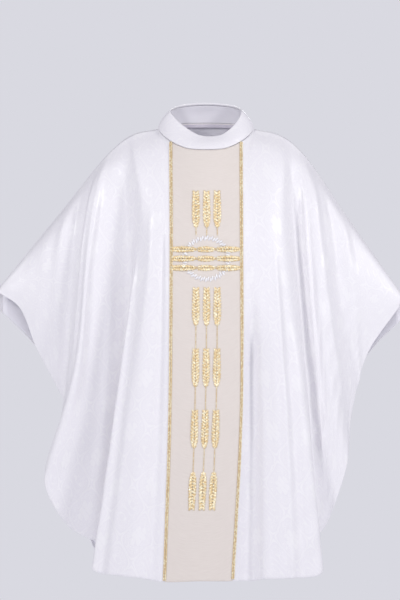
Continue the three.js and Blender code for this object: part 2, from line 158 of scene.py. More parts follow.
def unit(vectors):
    return vectors / np.linalg.norm(vectors, axis=-1, keepdims=True)


def fade(value, low, high):
    """0 at low and 1 at high, with soft ends."""
    share = np.clip((value - low) / (high - low), 0, 1)
    return share * share * (3 - 2 * share)


# ---- Neckline and shoulder seams ----
# Half of the neckline from front to back: shares of the half width, of the distance forward or back
# and of the dip or rise.
NECK_SHAPE = [
    (0, -1, -1), (0.41, -0.89, -0.93), (0.74, -0.58, -0.6), (0.93, -0.22, -0.25), (1, 0.1, 0),
    (0.93, 0.46, 0.4), (0.74, 0.75, 0.73), (0.41, 0.94, 0.93), (0, 1, 1),
]


def neck_point(share, side):
    out, along, rise = share
    y = along * (NECK_FRONT if along < 0 else NECK_BACK)
    z = rise * (NECK_DIP if rise < 0 else NECK_RISE)
    return (side * out * NECK_HALF, y, z)


half_round = [neck_point(share, 1) for share in NECK_SHAPE]
other_half = [neck_point(share, -1) for share in NECK_SHAPE[-2:0:-1]]
NECK_RING = half_round + other_half
NECK_CONTROL = NECK_RING[-2:] + NECK_RING + NECK_RING[:3]


def on_neck_ring(turns):
    """Points of the neckline, at shares of a turn from the middle of the front towards +X."""
    return curve_through(NECK_CONTROL, 2 + (np.asarray(turns) % 1) * len(NECK_RING))


def on_neckline(place, side, face):
    """place runs from 0 at the side of the neck to 1 at the middle of the front or back."""
    points = on_neck_ring((4 + 4 * face * np.asarray(place)) / 16)
    return points * (side, 1, 1)


def neck_place_at(distance, face):
    """The place on the neckline at a distance across from the middle."""
    places = np.linspace(0, 1, 400)
    across = on_neckline(places, 1, face)[:, 0]
    return float(np.interp(-distance, -across, places))


def shoulder_seam(side):
    reach, drop = REACH[side], WRIST_DROP[side]
    points = [
        (NECK_HALF, 0),
        ((NECK_HALF + SHOULDER) / 2 + NECK_SLOPE_OUT, -SHOULDER_DROP * NECK_SLOPE_DROP),
        (SHOULDER, -SHOULDER_DROP),
        (SHOULDER + (reach - SHOULDER) * ELBOW, -SHOULDER_DROP - (drop - SHOULDER_DROP) * ELBOW),
        (reach, -drop),
    ]
    control = [(side * x, SEAM_PLANE, z) for x, z in points]
    return curve_through(control, np.linspace(0, 4, 300))


SEAMS = {side: shoulder_seam(side) for side in (-1, 1)}


def top_points(tops, side, face):
    """tops run 0..1 along the shoulder seam from neck to wrist, or 0..-1 along the neckline."""
    tops = np.asarray(tops, float)
    seam = evenly(SEAMS[side], np.clip(tops, 0, 1))
    seam[:, 1] += face * SEAM_GAP
    neck = on_neckline(np.clip(-tops, 0, 1), side, face)
    return np.where(tops[:, None] < 0, neck, seam)


# ---- Fold lines: [top, yoke, chest, knee, hem] ----
# A station is (flare outwards from the top point in mm, distance that it stands off the plane of the
# shoulder seams in mm, share of LENGTH below the top point).

FRONT_EDGE = -neck_place_at(BAND_HALF, FRONT)
BACK_EDGE = -neck_place_at(BAND_HALF, BACK)

FRONT_LEFT = [
    [1, (0, 5, 0.002), (1, 9, 0.005), (2, 12, 0.008), (4, 14, 0.011)],
    [0.84, (2, 12, 0.01), (4, 20, 0.03), (7, 28, 0.065), (10, 26, 0.107)],
    [0.64, (5, 22, 0.015), (13, 40, 0.05), (30, 48, 0.16), (46, 38, 0.27)],
    [0.44, (12, 32, 0.03), (27, 58, 0.1), (40, 64, 0.27), (43, 44, 0.476)],
    [0.34, (16, 38, 0.045), (42, 68, 0.154), (68, 74, 0.352), (84, 62, 0.525)],
    [0.305, (17, 44, 0.048), (44, 84, 0.178), (70, 98, 0.42), (128, 85, 0.629)],
    [0.27, (17, 50, 0.05), (45, 98, 0.2), (80, 123, 0.49), (169, 113, 0.715)],
    [0.23, (12, 42, 0.05), (38, 83, 0.213), (70, 100, 0.551), (115, 90, 0.83)],
    [0.17, (0, 42, 0.05), (-13, 73, 0.233), (5, 93, 0.603), (50, 108, 0.89)],
    [0.14, (-8, 50, 0.05), (-22, 100, 0.21), (28, 140, 0.63), (64, 146, 0.915)],
    [0.12, (-8, 58, 0.05), (-23, 118, 0.193), (45, 163, 0.634), (104, 178, 0.956)],
    [0.06, (-6, 64, 0.05), (-15, 141, 0.224), (35, 183, 0.625), (75, 204, 0.976)],
    [0, (-3, 66, 0.05), (-5, 151, 0.236), (17, 188, 0.63), (47, 210, 0.987)],
    [FRONT_EDGE, (0, 94, 0.06), (-1, 158, 0.212), (3, 194, 0.606), (18, 209, 0.967)],
]
FRONT_MIDDLE = [-1, (1, 120, 0.06), (2, 165, 0.19), (-2, 198, 0.583), (-21, 214, 0.947)]
FRONT_RIGHT = [
    [1, (-1, 6, 0.003), (-2, 11, 0.008), (-5, 15, 0.015), (-10, 17, 0.023)],
    [0.64, (5, 22, 0.018), (12, 40, 0.073), (21, 48, 0.176), (32, 38, 0.282)],
    [0.34, (12, 38, 0.045), (35, 68, 0.152), (75, 74, 0.357), (97, 58, 0.546)],
    [0.27, (9, 50, 0.05), (23, 98, 0.198), (67, 123, 0.521), (114, 108, 0.671)],
    [0.23, (8, 44, 0.05), (23, 88, 0.216), (58, 118, 0.57), (74, 112, 0.818)],
    [0.17, (6, 42, 0.05), (18, 76, 0.213), (58, 116, 0.606), (72, 124, 0.878)],
    [0.12, (4, 58, 0.05), (12, 116, 0.209), (72, 163, 0.618), (116, 178, 0.961)],
    [0.06, (1, 64, 0.05), (4, 141, 0.224), (39, 183, 0.625), (60, 204, 0.982)],
    [0, (-1, 66, 0.05), (-2, 151, 0.236), (12, 188, 0.63), (17, 211, 0.989)],
    [FRONT_EDGE, (0, 94, 0.06), (1, 158, 0.212), (0, 194, 0.606), (-24, 212, 0.965)],
]
BACK_LEFT = [
    [1, (2, 6, 0.005), (6, 13, 0.014), (8, 18, 0.03), (6, 20, 0.046)],
    [0.64, (8, 22, 0.018), (22, 40, 0.06), (40, 52, 0.17), (48, 45, 0.27)],
    [0.47, (8, 32, 0.018), (22, 62, 0.11), (36, 82, 0.3), (18, 72, 0.455)],
    [0.3, (16, 46, 0.05), (50, 90, 0.2), (90, 120, 0.45), (110, 110, 0.66)],
    [0.2, (6, 46, 0.05), (10, 95, 0.22), (50, 110, 0.55), (80, 110, 0.86)],
    [0.12, (0, 62, 0.05), (0, 130, 0.2), (50, 170, 0.6), (80, 180, 0.95)],
    [0, (-2, 74, 0.05), (-5, 150, 0.22), (17, 180, 0.6), (45, 192, 0.985)],
    [BACK_EDGE, (0, 108, 0.06), (0, 158, 0.2), (2, 184, 0.6), (4, 196, 0.998)],
]
BACK_RIGHT = [
    [1, (2, 6, 0.005), (6, 13, 0.014), (8, 18, 0.03), (6, 20, 0.046)],
    [0.64, (8, 22, 0.018), (22, 40, 0.06), (40, 52, 0.17), (46, 45, 0.27)],
    [0.47, (8, 32, 0.018), (20, 62, 0.11), (32, 82, 0.3), (24, 72, 0.455)],
    [0.3, (16, 46, 0.05), (46, 90, 0.2), (80, 120, 0.45), (88, 110, 0.66)],
    [0.2, (6, 46, 0.05), (10, 95, 0.22), (40, 110, 0.55), (44, 110, 0.86)],
    [0.12, (0, 62, 0.05), (0, 130, 0.2), (46, 170, 0.6), (66, 180, 0.95)],
    [0, (-2, 74, 0.05), (-5, 150, 0.22), (17, 180, 0.6), (42, 192, 0.985)],
    [BACK_EDGE, (0, 108, 0.06), (0, 158, 0.2), (2, 184, 0.6), (4, 196, 0.998)],
]
BACK_MIDDLE = [-1, (0, 114, 0.06), (0, 162, 0.2), (0, 188, 0.6), (0, 200, 1.0)]

# Soft folds pressed into the cloth: (side, top at its head, top at its foot, where it starts and ends
# down the cloth, half width at head and foot in mm, height in mm, sharpness). A negative height is a
# valley. A top is a place along the shoulder seam, as on the fold lines.
FRONT_FOLDS = [
    (-1, 0.122, 0.122, 0.25, 1, 5, 7, 7, 2),
    (-1, 0.165, 0.17, 0.25, 1, 16, 26, -11, 2),
    (-1, 0.26, 0.29, 0.05, 1, 16, 20, 5, 2),
    (1, 0.225, 0.225, 0.05, 0.9, 8, 12, 8, 2),
    (1, 0.08, 0.066, 0.25, 1, 8, 11, 6, 2),
    (1, 0.165, 0.17, 0.05, 0.9, 12, 16, -5, 2),
    (-1, 0.09, 0.095, 0.35, 1, 10, 14, -7, 2),
    (-1, 0.06, 0.02, 0.15, 1, 14, 30, 5, 2),
    (-1, -0.12, -0.22, 0.2, 1, 9, 14, -6, 2),
    (-1, 0.3, 0.32, 0.03, 0.75, 8, 16, 7, 2),
    (-1, 0.42, 0.40, 0.02, 0.9, 18, 30, -6, 2),
    (-1, 0.52, 0.52, 0.05, 1, 16, 26, 5, 2),
    (-1, 0.75, 0.72, 0.1, 1, 18, 22, -3, 2),
    (-1, 0.2, 0.2, 0.3, 0.95, 10, 14, 5, 2),
    (1, 0.09, 0.085, 0.4, 1, 12, 14, -6, 2),
    (1, 0.06, 0.05, 0.3, 1, 16, 24, 5, 2),
    (1, -0.08, -0.17, 0.4, 1, 26, 34, -36, 2),
    (1, 0.02, 0.01, 0.3, 1, 16, 24, 8, 2),
    (1, 0.2, 0.2, 0.1, 0.6, 4, 7, 5, 1.6),
    (1, 0.3, 0.31, 0.05, 0.9, 12, 18, 5, 2),
    (1, 0.42, 0.4, 0.03, 0.9, 18, 30, -6, 2),
    (1, 0.54, 0.53, 0.05, 1, 16, 24, 5, 2),
    (1, 0.75, 0.73, 0.1, 1, 18, 22, -3, 2),
]
BACK_FOLDS = [
    (side, top, foot, start, 1, width, width * 1.6, height, 2)
    for side in (-1, 1)
    for top, foot, start, width, height in (
        (0.06, 0.03, 0.2, 16, 7), (0.09, 0.08, 0.3, 10, -6), (0.16, 0.16, 0.1, 12, -5),
        (0.25, 0.26, 0.08, 14, 8), (0.36, 0.35, 0.05, 18, -6), (0.47, 0.46, 0.05, 18, 6),
        (0.75, 0.72, 0.1, 20, -3),
    )
]

PANEL_SPLIT = 15  # columns between two fold lines
BAND_SPLIT = 18
ROWS = 200
FINE = 240  # points on a column before its rows are spaced evenly
FOLD_END = 0.14  # share of the cloth's length in which a fold fades in or out


class Face:
    """One face of the garment as a fine grid of points: columns from the viewer's left, rows down."""

    def __init__(self, left, middle, right, face, folds):
        self.face = face
        self.first_side = -1 if face == FRONT else 1
        lines = [(line, self.first_side) for line in left]
        lines += [(middle, 0)]
        lines += [(line, -self.first_side) for line in reversed(right)]
        self.tops = {
            self.first_side: [line[0] for line in left],
            -self.first_side: [line[0] for line in right],
        }
        self.middle_line = len(left)
        self.last_line = len(lines) - 1
        self.places = self.column_places()
        tops = np.interp(self.places, range(len(lines)), [line[0] for line, side in lines])
        first = self.places < self.middle_line
        top_row = np.where(
            first[:, None],
            top_points(tops, self.first_side, face),
            top_points(tops, -self.first_side, face),
        )
        starts = [top_points([line[0]], side or 1, face)[0] for line, side in lines]
        stations = []
        for s in range(1, 5):
            placed = []
            for (line, side), start in zip(lines, starts):
                flare, stand, fall = line[s]
                x = start[0] + (side or 1) * flare * MM
                y = SEAM_PLANE + face * stand * MM
                placed.append((x, y, start[2] - fall * LENGTH))
            stations.append(curve_through(placed, self.places))
        control = np.stack([top_row, *stations])
        self.down = np.linspace(0, 1, ROWS + 1)
        fine = np.linspace(0, 4, FINE)
        self.grid = np.stack(
            [evenly(curve_through(control[:, c], fine), self.down) for c in range(len(self.places))]
        )
        self.ripple()
        for fold in folds:
            self.press(*fold)
        self.normal = self.normals()

    def column_places(self):
        places = [0.0]
        for span in range(self.last_line):
            parts = BAND_SPLIT if span in (self.middle_line - 1, self.middle_line) else PANEL_SPLIT
            places += [span + (i + 1) / parts for i in range(parts)]
        return np.array(places)

    def place_of(self, side, top):
        """The column place of a top value on one side."""
        tops = self.tops[side]
        place = float(np.interp(-top, [-value for value in tops], range(len(tops))))
        return place if side == self.first_side else self.last_line - place

    def column(self, place):
        return int(np.argmin(abs(self.places - place)))

    def normals(self):
        down = np.gradient(self.grid, axis=1)
        across = np.gradient(self.grid, axis=0)
        normal = np.cross(down, across)
        return normal / (np.linalg.norm(normal, axis=2, keepdims=True) + 1e-12)

    def row_distance(self):
        """Distance along each row from the first column."""
        steps = np.linalg.norm(np.diff(self.grid, axis=0), axis=2)
        return np.concatenate([np.zeros((1, steps.shape[1])), np.cumsum(steps, axis=0)])

    def column_length(self):
        return np.linalg.norm(np.diff(self.grid, axis=1), axis=2).sum(axis=1)[:, None]

    def hold_seams(self):
        """1 in the open cloth and 0 where it is sewn to the shoulder seam or the collar."""
        return fade(self.down, 0, 0.05)[None, :]

    def ripple(self):
        """The small unevenness of cloth that hangs: long soft waves that run mostly downwards."""
        across = self.row_distance()
        length = self.column_length()
        down = self.down[None, :] * length
        wave = 0.9 * np.sin(across / 0.019 + 1.3 * np.sin(down / 0.21) + self.face)
        wave += 0.7 * np.sin(across / 0.031 - 1.7 * np.sin(down / 0.34 + 1) + 2)
        wave += 0.5 * np.sin(down / 0.055 + across / 0.09 + 3 * np.sin(across / 0.12))
        from_middle = abs(self.places - self.middle_line)
        off_band = fade(from_middle, 0.9, 1.6)[:, None]
        strength = (0.2 + 0.4 * off_band) * self.hold_seams() * fade(length, 0.25, 0.8) * MM
        self.grid = self.grid + self.normals() * (wave * strength)[:, :, None]

    def press(self, side, top, foot, start, end, width_top, width_foot, height, sharp):
        """Presses one soft fold into the cloth. Short columns near the wrist take little of it."""
        distance = self.row_distance()
        place = self.place_of(side, top)
        place = place + (self.place_of(side, foot) - place) * self.down
        centre = np.array(
            [np.interp(place[r], self.places, distance[:, r]) for r in range(ROWS + 1)]
        )
        width = (width_top + (width_foot - width_top) * self.down) * MM
        profile = np.exp(-((abs(distance - centre) / width) ** sharp))
        reach = fade(self.down, start, start + FOLD_END)
        if end < 1:
            reach = reach * (1 - fade(self.down, end - FOLD_END, end))
        push = height * MM * profile * reach * fade(self.column_length(), 0.15, 0.5)
        self.grid = self.grid + self.normals() * push[:, :, None]


front = Face(FRONT_LEFT, FRONT_MIDDLE, FRONT_RIGHT, FRONT, FRONT_FOLDS)
back = Face(BACK_RIGHT, BACK_MIDDLE, BACK_LEFT, BACK, BACK_FOLDS)

# ---- Sheets of cloth ----


def new_object(name, mesh, material):
    mesh.materials.append(material)
    piece = bpy.data.objects.new(name, mesh)
    bpy.context.scene.collection.objects.link(piece)
    return piece


def flat_place(grid):
    """Distance across and down the cloth at each point of its grid."""
    across = np.linalg.norm(np.diff(grid, axis=0), axis=2)
    down = np.linalg.norm(np.diff(grid, axis=1), axis=2)
    u = np.concatenate([np.zeros((1, grid.shape[1])), np.cumsum(across, axis=0)])
    u -= u[len(u) // 2]
    v = -np.concatenate([np.zeros((grid.shape[0], 1)), np.cumsum(down, axis=1)], axis=1)
    return np.stack([u, v], axis=-1)


def shade_smooth(mesh):
    mesh.polygons.foreach_set("use_smooth", np.ones(len(mesh.polygons), bool))
    mesh.update()


def sheet_mesh(name, grid, closed=False):
    """A sheet through a grid of points, with its place on the flat cloth as its UV map, in metres."""
    columns, rows = grid.shape[:2]
    bm = bmesh.new()
    bmesh.ops.create_grid(bm, x_segments=columns - 1, y_segments=rows - 1, size=1)
    mesh = bpy.data.meshes.new(name)
    bm.to_mesh(mesh)
    place = np.empty(len(mesh.vertices) * 3, np.float32)
    mesh.vertices.foreach_get("co", place)
    place = place.reshape(-1, 3)
    c = np.rint((place[:, 0] + 1) / 2 * (columns - 1)).astype(int)
    r = np.rint((1 - place[:, 1]) / 2 * (rows - 1)).astype(int)
    mesh.vertices.foreach_set("co", grid[c, r].astype(np.float32).ravel())
    flat = flat_place(grid)
    corner = np.empty(len(mesh.loops), np.int32)
    mesh.loops.foreach_get("vertex_index", corner)
    layer = mesh.uv_layers.new(name="flat_cloth")
    layer.data.foreach_set("uv", flat[c[corner], r[corner]].astype(np.float32).ravel())
    if closed:
        bm.clear()
        bm.from_mesh(mesh)
        bmesh.ops.remove_doubles(bm, verts=bm.verts, dist=0.02 * MM)
        bm.to_mesh(mesh)
    bm.free()
    shade_smooth(mesh)
    return mesh


def give_thickness(piece, thickness):
    """The cloth grows inwards from its outer face."""
    shell = piece.modifiers.new("thickness", "SOLIDIFY")
    shell.thickness = thickness
    shell.offset = -1
    shell.use_quality_normals = True


def turned_hem(grid, normals):
    """The cloth with its hem turned up inside."""
    edge = grid[:, -1]
    away = unit(edge - grid[:, -2])
    inwards = -normals[:, -1]
    bend = [(0.8, 0.5), (1.0, 1.4), (0.7, 2.3), (0, 2.8)]
    turn = [edge + away * out * MM + inwards * depth * MM for out, depth in bend]
    rows_up = HEM_TURN / (LENGTH / ROWS)
    for share in (0.3, 0.6, 1):
        row = -1 - max(1, int(round(share * rows_up)))
        turn.append(grid[:, row] - normals[:, row] * HEM_INSIDE)
    return np.concatenate([grid, np.stack(turn, axis=1)], axis=1)


def belong(piece, slot, *nodes):
    """Everything rides on the one body: the garment has no joints."""
    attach(piece, "root")
    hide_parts(*nodes)
    return piece


# ---- Materials ----


class Shading:
    """Adds nodes to a material or a node group."""

    def __init__(self, tree):
        self.tree = tree

    def add(self, kind, **settings):
        node = self.tree.nodes.new(kind)
        for name, value in settings.items():
            setattr(node, name, value)
        return node

    def feed(self, socket, value):
        if isinstance(value, bpy.types.NodeSocket):
            self.tree.links.new(value, socket)
        else:
            socket.default_value = value

    def maths(self, operation, *values, clamp=False):
        node = self.add("ShaderNodeMath", operation=operation, use_clamp=clamp)
        for socket, value in zip(node.inputs, values):
            self.feed(socket, value)
        return node.outputs[0]

    def soft_step(self, value, low, high):
        node = self.add("ShaderNodeMapRange", interpolation_type="SMOOTHSTEP")
        self.feed(node.inputs["Value"], value)
        node.inputs["From Min"].default_value = low
        node.inputs["From Max"].default_value = high
        return node.outputs[0]

    def blend(self, share, first, second):
        node = self.add("ShaderNodeMix", data_type="RGBA")
        self.feed(node.inputs["Factor"], share)
        self.feed(node.inputs[6], first)
        self.feed(node.inputs[7], second)
        return node.outputs[2]

    def noise(self, vector, scale, detail=2.0):
        node = self.add("ShaderNodeTexNoise")
        self.feed(node.inputs["Vector"], vector)
        node.inputs["Scale"].default_value = scale
        node.inputs["Detail"].default_value = detail
        return node.outputs[0]

    def bump(self, height, strength, distance):
        node = self.add("ShaderNodeBump")
        node.inputs["Strength"].default_value = strength
        node.inputs["Distance"].default_value = distance
        self.feed(node.inputs["Height"], height)
        return node.outputs[0]


def new_group(name, given, made):
    """A node group with named inputs and outputs, each (name, socket kind)."""
    tree = bpy.data.node_groups.new(name, "ShaderNodeTree")
    for socket, kind in given:
        tree.interface.new_socket(socket, in_out="INPUT", socket_type=kind)
    for socket, kind in made:
        tree.interface.new_socket(socket, in_out="OUTPUT", socket_type=kind)
    shading = Shading(tree)
    source = shading.add("NodeGroupInput")
    result = shading.add("NodeGroupOutput")
    return tree, shading, source, result


def new_material(name, **values):
    material = bpy.data.materials.new(name)
    material.use_nodes = True
    shader = material.node_tree.nodes["Principled BSDF"]
    for socket, value in values.items():
        shader.inputs[socket.replace("_", " ")].default_value = value
    return material, Shading(material.node_tree), shader


def damask_group():
    """Satin figures of the damask: ringed medallions in an ogee frame, drawn with fine satin lines."""
    tree, s, source, result = new_group(
        "damask_figures",
        [("Flat Cloth", "NodeSocketVector")],
        [("Figure", "NodeSocketFloat"), ("Height", "NodeSocketFloat")],
    )
    across, down = 0.104, 0.148  # the figure's repeat
    diagonal = 0.0011  # pitch of the twill's slanting lines
    wander = s.add("ShaderNodeTexNoise", noise_dimensions="2D")
    s.feed(wander.inputs["Vector"], source.outputs[0])
    wander.inputs["Scale"].default_value = 38
    split = s.add("ShaderNodeSeparateXYZ")
    s.feed(split.inputs[0], source.outputs[0])
    shift = s.maths("MULTIPLY", s.maths("SUBTRACT", wander.outputs[0], 0.5), 0.01)
    u = s.maths("DIVIDE", s.maths("ADD", split.outputs[0], shift), across)
    v = s.maths("DIVIDE", s.maths("SUBTRACT", split.outputs[1], shift), down)
    turn_u = s.maths("MULTIPLY", u, 2 * math.pi)
    turn_v = s.maths("MULTIPLY", v, 2 * math.pi)

    def wave(value, fineness):
        return s.maths("SINE", s.maths("MULTIPLY", value, fineness))

    def lines(value, fineness, low, high):
        return s.soft_step(wave(value, fineness), low, high)

    def leaf(turn, count, other):
        sway = s.maths("MULTIPLY", wave(other, 2), 2.4)
        return s.maths("SINE", s.maths("ADD", s.maths("MULTIPLY", turn, count), sway))

    lattice = s.maths("ADD", s.maths("COSINE", turn_u), s.maths("COSINE", turn_v))
    size = s.maths("ABSOLUTE", lattice)
    frame_rings = lines(size, 17, 0.25, 0.75)
    leaves = s.maths("MULTIPLY", leaf(turn_u, 3, turn_v), leaf(turn_v, 4, turn_u))
    scrolls = lines(leaves, 9, 0.3, 0.8)
    heart = s.soft_step(size, 1.25, 1.4)
    border = s.maths("SUBTRACT", 1, s.soft_step(size, 0.34, 0.5))
    flower = s.maths("MULTIPLY", heart, s.soft_step(leaves, -0.15, 0.1))
    figure = s.maths("MAXIMUM", flower, s.maths("MULTIPLY", border, frame_rings))
    ground = s.maths("MULTIPLY", s.maths("SUBTRACT", 1, s.maths("MAXIMUM", heart, border)), scrolls)
    figure = s.maths("MAXIMUM", figure, ground)
    thread = wave(s.maths("ADD", split.outputs[0], split.outputs[1]), 2 * math.pi / diagonal)
    s.feed(result.inputs[0], figure)
    s.feed(result.inputs[1], s.maths("ADD", figure, s.maths("MULTIPLY", thread, 0.12)))
    return tree


def ribs_group():
    """Fine weft ribs with slubs, for plain cloth."""
    tree, s, source, result = new_group(
        "weft_ribs",
        [("Flat Cloth", "NodeSocketVector"), ("Pitch", "NodeSocketFloat")],
        [("Height", "NodeSocketFloat"), ("Slub", "NodeSocketFloat")],
    )
    split = s.add("ShaderNodeSeparateXYZ")
    s.feed(split.inputs[0], source.outputs[0])
    turn = s.maths("DIVIDE", s.maths("MULTIPLY", split.outputs[1], 2 * math.pi), source.outputs[1])
    stretch = s.add("ShaderNodeCombineXYZ")
    s.feed(stretch.inputs[0], s.maths("MULTIPLY", split.outputs[0], 30))
    s.feed(stretch.inputs[1], s.maths("MULTIPLY", split.outputs[1], 700))
    slub = s.noise(stretch.outputs[0], 1.0, 3.0)
    s.feed(result.inputs[0], s.maths("ADD", s.maths("SINE", turn), s.maths("MULTIPLY", slub, 1.5)))
    s.feed(result.inputs[1], slub)
    return tree


def glitter_group():
    """Metallic thread: uneven colour with painted glints, where bright foil cells lighten it, and tiny
    turns of the foil in its bump that catch the light.
    """
    tree, s, source, result = new_group(
        "metal_thread",
        [("Place", "NodeSocketVector")],
        [("Shade", "NodeSocketFloat"), ("Height", "NodeSocketFloat")],
    )
    foil = s.add("ShaderNodeTexVoronoi")
    s.feed(foil.inputs["Vector"], source.outputs[0])
    foil.inputs["Scale"].default_value = 330
    part = s.add("ShaderNodeSeparateColor")
    s.feed(part.inputs[0], foil.outputs["Color"])
    # Bright random foil cells lighten the thread's colour as painted glints; the fine noise is the
    # thread's own uneven tone.
    painted_glint_mask = s.soft_step(part.outputs[0], 0.35, 0.85)
    fine = s.noise(source.outputs[0], 900, 2.0)
    painted_glint, grain = s.maths("MULTIPLY", painted_glint_mask, 0.75), s.maths("MULTIPLY", fine, 0.35)
    # Shade carries the thread's own uneven tone together with its painted glints.
    s.feed(result.inputs[0], s.maths("ADD", painted_glint, grain, clamp=True))
    s.feed(result.inputs[1], s.maths("ADD", foil.outputs[0], fine))
    return tree


DAMASK_FIGURES = damask_group()
WEFT_RIBS = ribs_group()
METAL_THREAD = glitter_group()


def uv_of(s):
    return s.add("ShaderNodeUVMap", uv_map="flat_cloth").outputs[0]


def object_place(s):
    return s.add("ShaderNodeTexCoord").outputs["Object"]


def damask_material():
    material, s, shader = new_material(
        "white_damask", Sheen_Weight=0.2, Sheen_Roughness=0.4, Specular_IOR_Level=0.6
    )
    figures = s.add("ShaderNodeGroup", node_tree=DAMASK_FIGURES)
    s.feed(figures.inputs[0], uv_of(s))
    figure, height = figures.outputs
    colour = s.blend(figure, (0.83, 0.817, 0.848, 1), (0.865, 0.857, 0.872, 1))
    s.feed(shader.inputs["Base Color"], colour)
    s.feed(shader.inputs["Roughness"], s.maths("SUBTRACT", 0.46, s.maths("MULTIPLY", figure, 0.12)))
    s.feed(shader.inputs["Normal"], s.bump(height, 0.25, 0.0005))
    return material


def ribbed_material(name, dark, light, pitch, roughness, strength):
    material, s, shader = new_material(name, Sheen_Weight=0.2, Specular_IOR_Level=0.25)
    ribs = s.add("ShaderNodeGroup", node_tree=WEFT_RIBS)
    s.feed(ribs.inputs[0], uv_of(s))
    ribs.inputs[1].default_value = pitch
    height, slub = ribs.outputs
    s.feed(shader.inputs["Base Color"], s.blend(slub, (*dark, 1), (*light, 1)))
    s.feed(shader.inputs["Roughness"], roughness)
    s.feed(shader.inputs["Normal"], s.bump(height, strength, 0.0004))
    return material


def thread_material(name, dark, light, metal, roughness):
    material, s, shader = new_material(name, Metallic=metal, Roughness=roughness)
    thread = s.add("ShaderNodeGroup", node_tree=METAL_THREAD)
    s.feed(thread.inputs[0], object_place(s))
    shade, height = thread.outputs
    # The colour runs from the dark thread colour to the light one by the thread's uneven tone and its
    # painted glints.
    s.feed(shader.inputs["Base Color"], s.blend(shade, (*dark, 1), (*light, 1)))
    s.feed(shader.inputs["Normal"], s.bump(height, 0.5, 0.0005))
    return material


DAMASK = damask_material()
CREAM = ribbed_material("cream_cloth", (0.72, 0.655, 0.60), (0.83, 0.775, 0.72), 0.0022, 0.85, 0.4)
LINING_CLOTH = ribbed_material("pale_lining", (0.91, 0.895, 0.95), (0.94, 0.93, 0.97), 0.0012, 0.5, 0.2)
TAPE = ribbed_material("stay_tape", (0.74, 0.70, 0.80), (0.84, 0.80, 0.88), 0.0012, 0.9, 0.6)
# The light colour of each thread is mostly reached in its painted glints.
GOLD = thread_material("gold_thread", (0.76, 0.54, 0.24), (1.0, 0.94, 0.70), 0.3, 0.32)
GOLD_BRAID = thread_material("gold_braid", (0.72, 0.51, 0.22), (1.0, 0.92, 0.66), 0.3, 0.34)
WHITE_THREAD = thread_material("white_thread", (0.80, 0.79, 0.82), (0.95, 0.95, 0.95), 0.0, 0.45)

# ---- Panels, bands and linings ----


def make_cloth(name, face, first, last, node, slot, material):
    full = turned_hem(face.grid[first : last + 1], face.normal[first : last + 1])
    piece = new_object(name, sheet_mesh(name, full), material)
    give_thickness(piece, CLOTH)
    belong(piece, slot, node)
    return piece


def make_lining(name, face, node):
    grid = face.grid[2:-2] - face.normal[2:-2] * LINING_DEPTH
    short = int(math.ceil(LINING_SHORT / (LENGTH / ROWS)))
    piece = new_object(name, sheet_mesh(name, grid[::2, :-short:2]), LINING_CLOTH)
    give_thickness(piece, LINING)
    belong(piece, "lining", node)


# ---- Stitches: small satin pads laid on the cloth ----


class Stitches:
    """Sews small rounded stitches into one piece. Each is a copy of one pad, turned and stretched."""

    def __init__(self, round_steps=8):
        self.pad = bmesh.new()
        bmesh.ops.create_uvsphere(self.pad, u_segments=round_steps, v_segments=4, radius=1)
        bmesh.ops.recalc_face_normals(self.pad, faces=self.pad.faces)
        self.one = bpy.data.meshes.new("one_stitch")
        self.sewn = bmesh.new()

    def lay(self, centre, along, normal, half_length, half_width, half_height):
        along = unit(along)
        normal = unit(normal - along * float(np.dot(normal, along)))
        side = np.cross(normal, along)
        place = np.eye(4)
        place[:3] = np.stack([side * half_width, normal * half_height, along * half_length, centre]).T
        stitch = self.pad.copy()
        bmesh.ops.transform(stitch, matrix=Matrix(place.tolist()), verts=stitch.verts)
        stitch.to_mesh(self.one)
        stitch.free()
        self.sewn.from_mesh(self.one)

    def finish(self, name, material):
        mesh = bpy.data.meshes.new(name)
        self.sewn.to_mesh(mesh)
        self.sewn.free()
        self.pad.free()
        bpy.data.meshes.remove(self.one)
        shade_smooth(mesh)
        return new_object(name, mesh, material)


class BandPlace:
    """Places on the centre band: across from its middle and down from the neckline, weft level."""

    STEP = 2 * MM

    def __init__(self, face, first, last):
        columns = face.grid[first : last + 1]
        middle = columns[(last - first) // 2]
        travelled = travelled_along(middle)
        lengths = np.arange(0, travelled[-1], self.STEP)
        heights = np.interp(lengths, travelled, middle[:, 2])
        self.points = np.stack(
            [
                np.stack([np.interp(-heights, -column[:, 2], column[:, k]) for k in range(3)], axis=-1)
                for column in columns
            ]
        )
        down = np.gradient(self.points, axis=1)
        across = np.gradient(self.points, axis=0)
        normal = np.cross(down, across)
        # Above its own top an edge column has no cloth, so it borrows the middle column's normal.
        bare = np.linalg.norm(normal, axis=2, keepdims=True) <= 1e-12
        self.normal = unit(np.where(bare, normal[len(columns) // 2], normal))

    def read(self, table, across, length):
        """A point or normal between the four of the table round it."""
        c = (across / (2 * BAND_HALF) + 0.5) * (len(table) - 1)
        r = length / self.STEP
        c = min(max(c, 0), len(table) - 1.001)
        r = min(max(r, 0), table.shape[1] - 1.001)
        i, j = int(c), int(r)
        s, t = c - i, r - j
        upper = table[i, j] * (1 - s) + table[i + 1, j] * s
        lower = table[i, j + 1] * (1 - s) + table[i + 1, j + 1] * s
        return upper * (1 - t) + lower * t

    def at(self, across, length, lift=0.0):
        return self.read(self.points, across, length) + self.read(self.normal, across, length) * lift

    def stitch(self, stitches, start, end, half_width, half_height, lift):
        """A stitch from start to end, each (across, length)."""
        a, b = self.at(*start, lift), self.at(*end, lift)
        middle = ((start[0] + end[0]) / 2, (start[1] + end[1]) / 2)
        centre = self.at(*middle, lift)
        half = np.linalg.norm(b - a) / 2 + half_width * 0.3
        stitches.lay(centre, b - a, self.read(self.normal, *middle), half, half_width, half_height)


# Half width of an ear down its length, as a share of the widest. A standing ear is cut square at the
# top, fullest low down and then drawn in to its stem. An ear in a row is fullest in its middle.
def standing_fullness(share):
    return 0.74 + 0.28 * math.sin(math.pi / 2 * min(share / 0.72, 1)) - 0.72 * share**11


def row_fullness(share):
    return 0.68 + 0.36 * math.sin(math.pi * share)


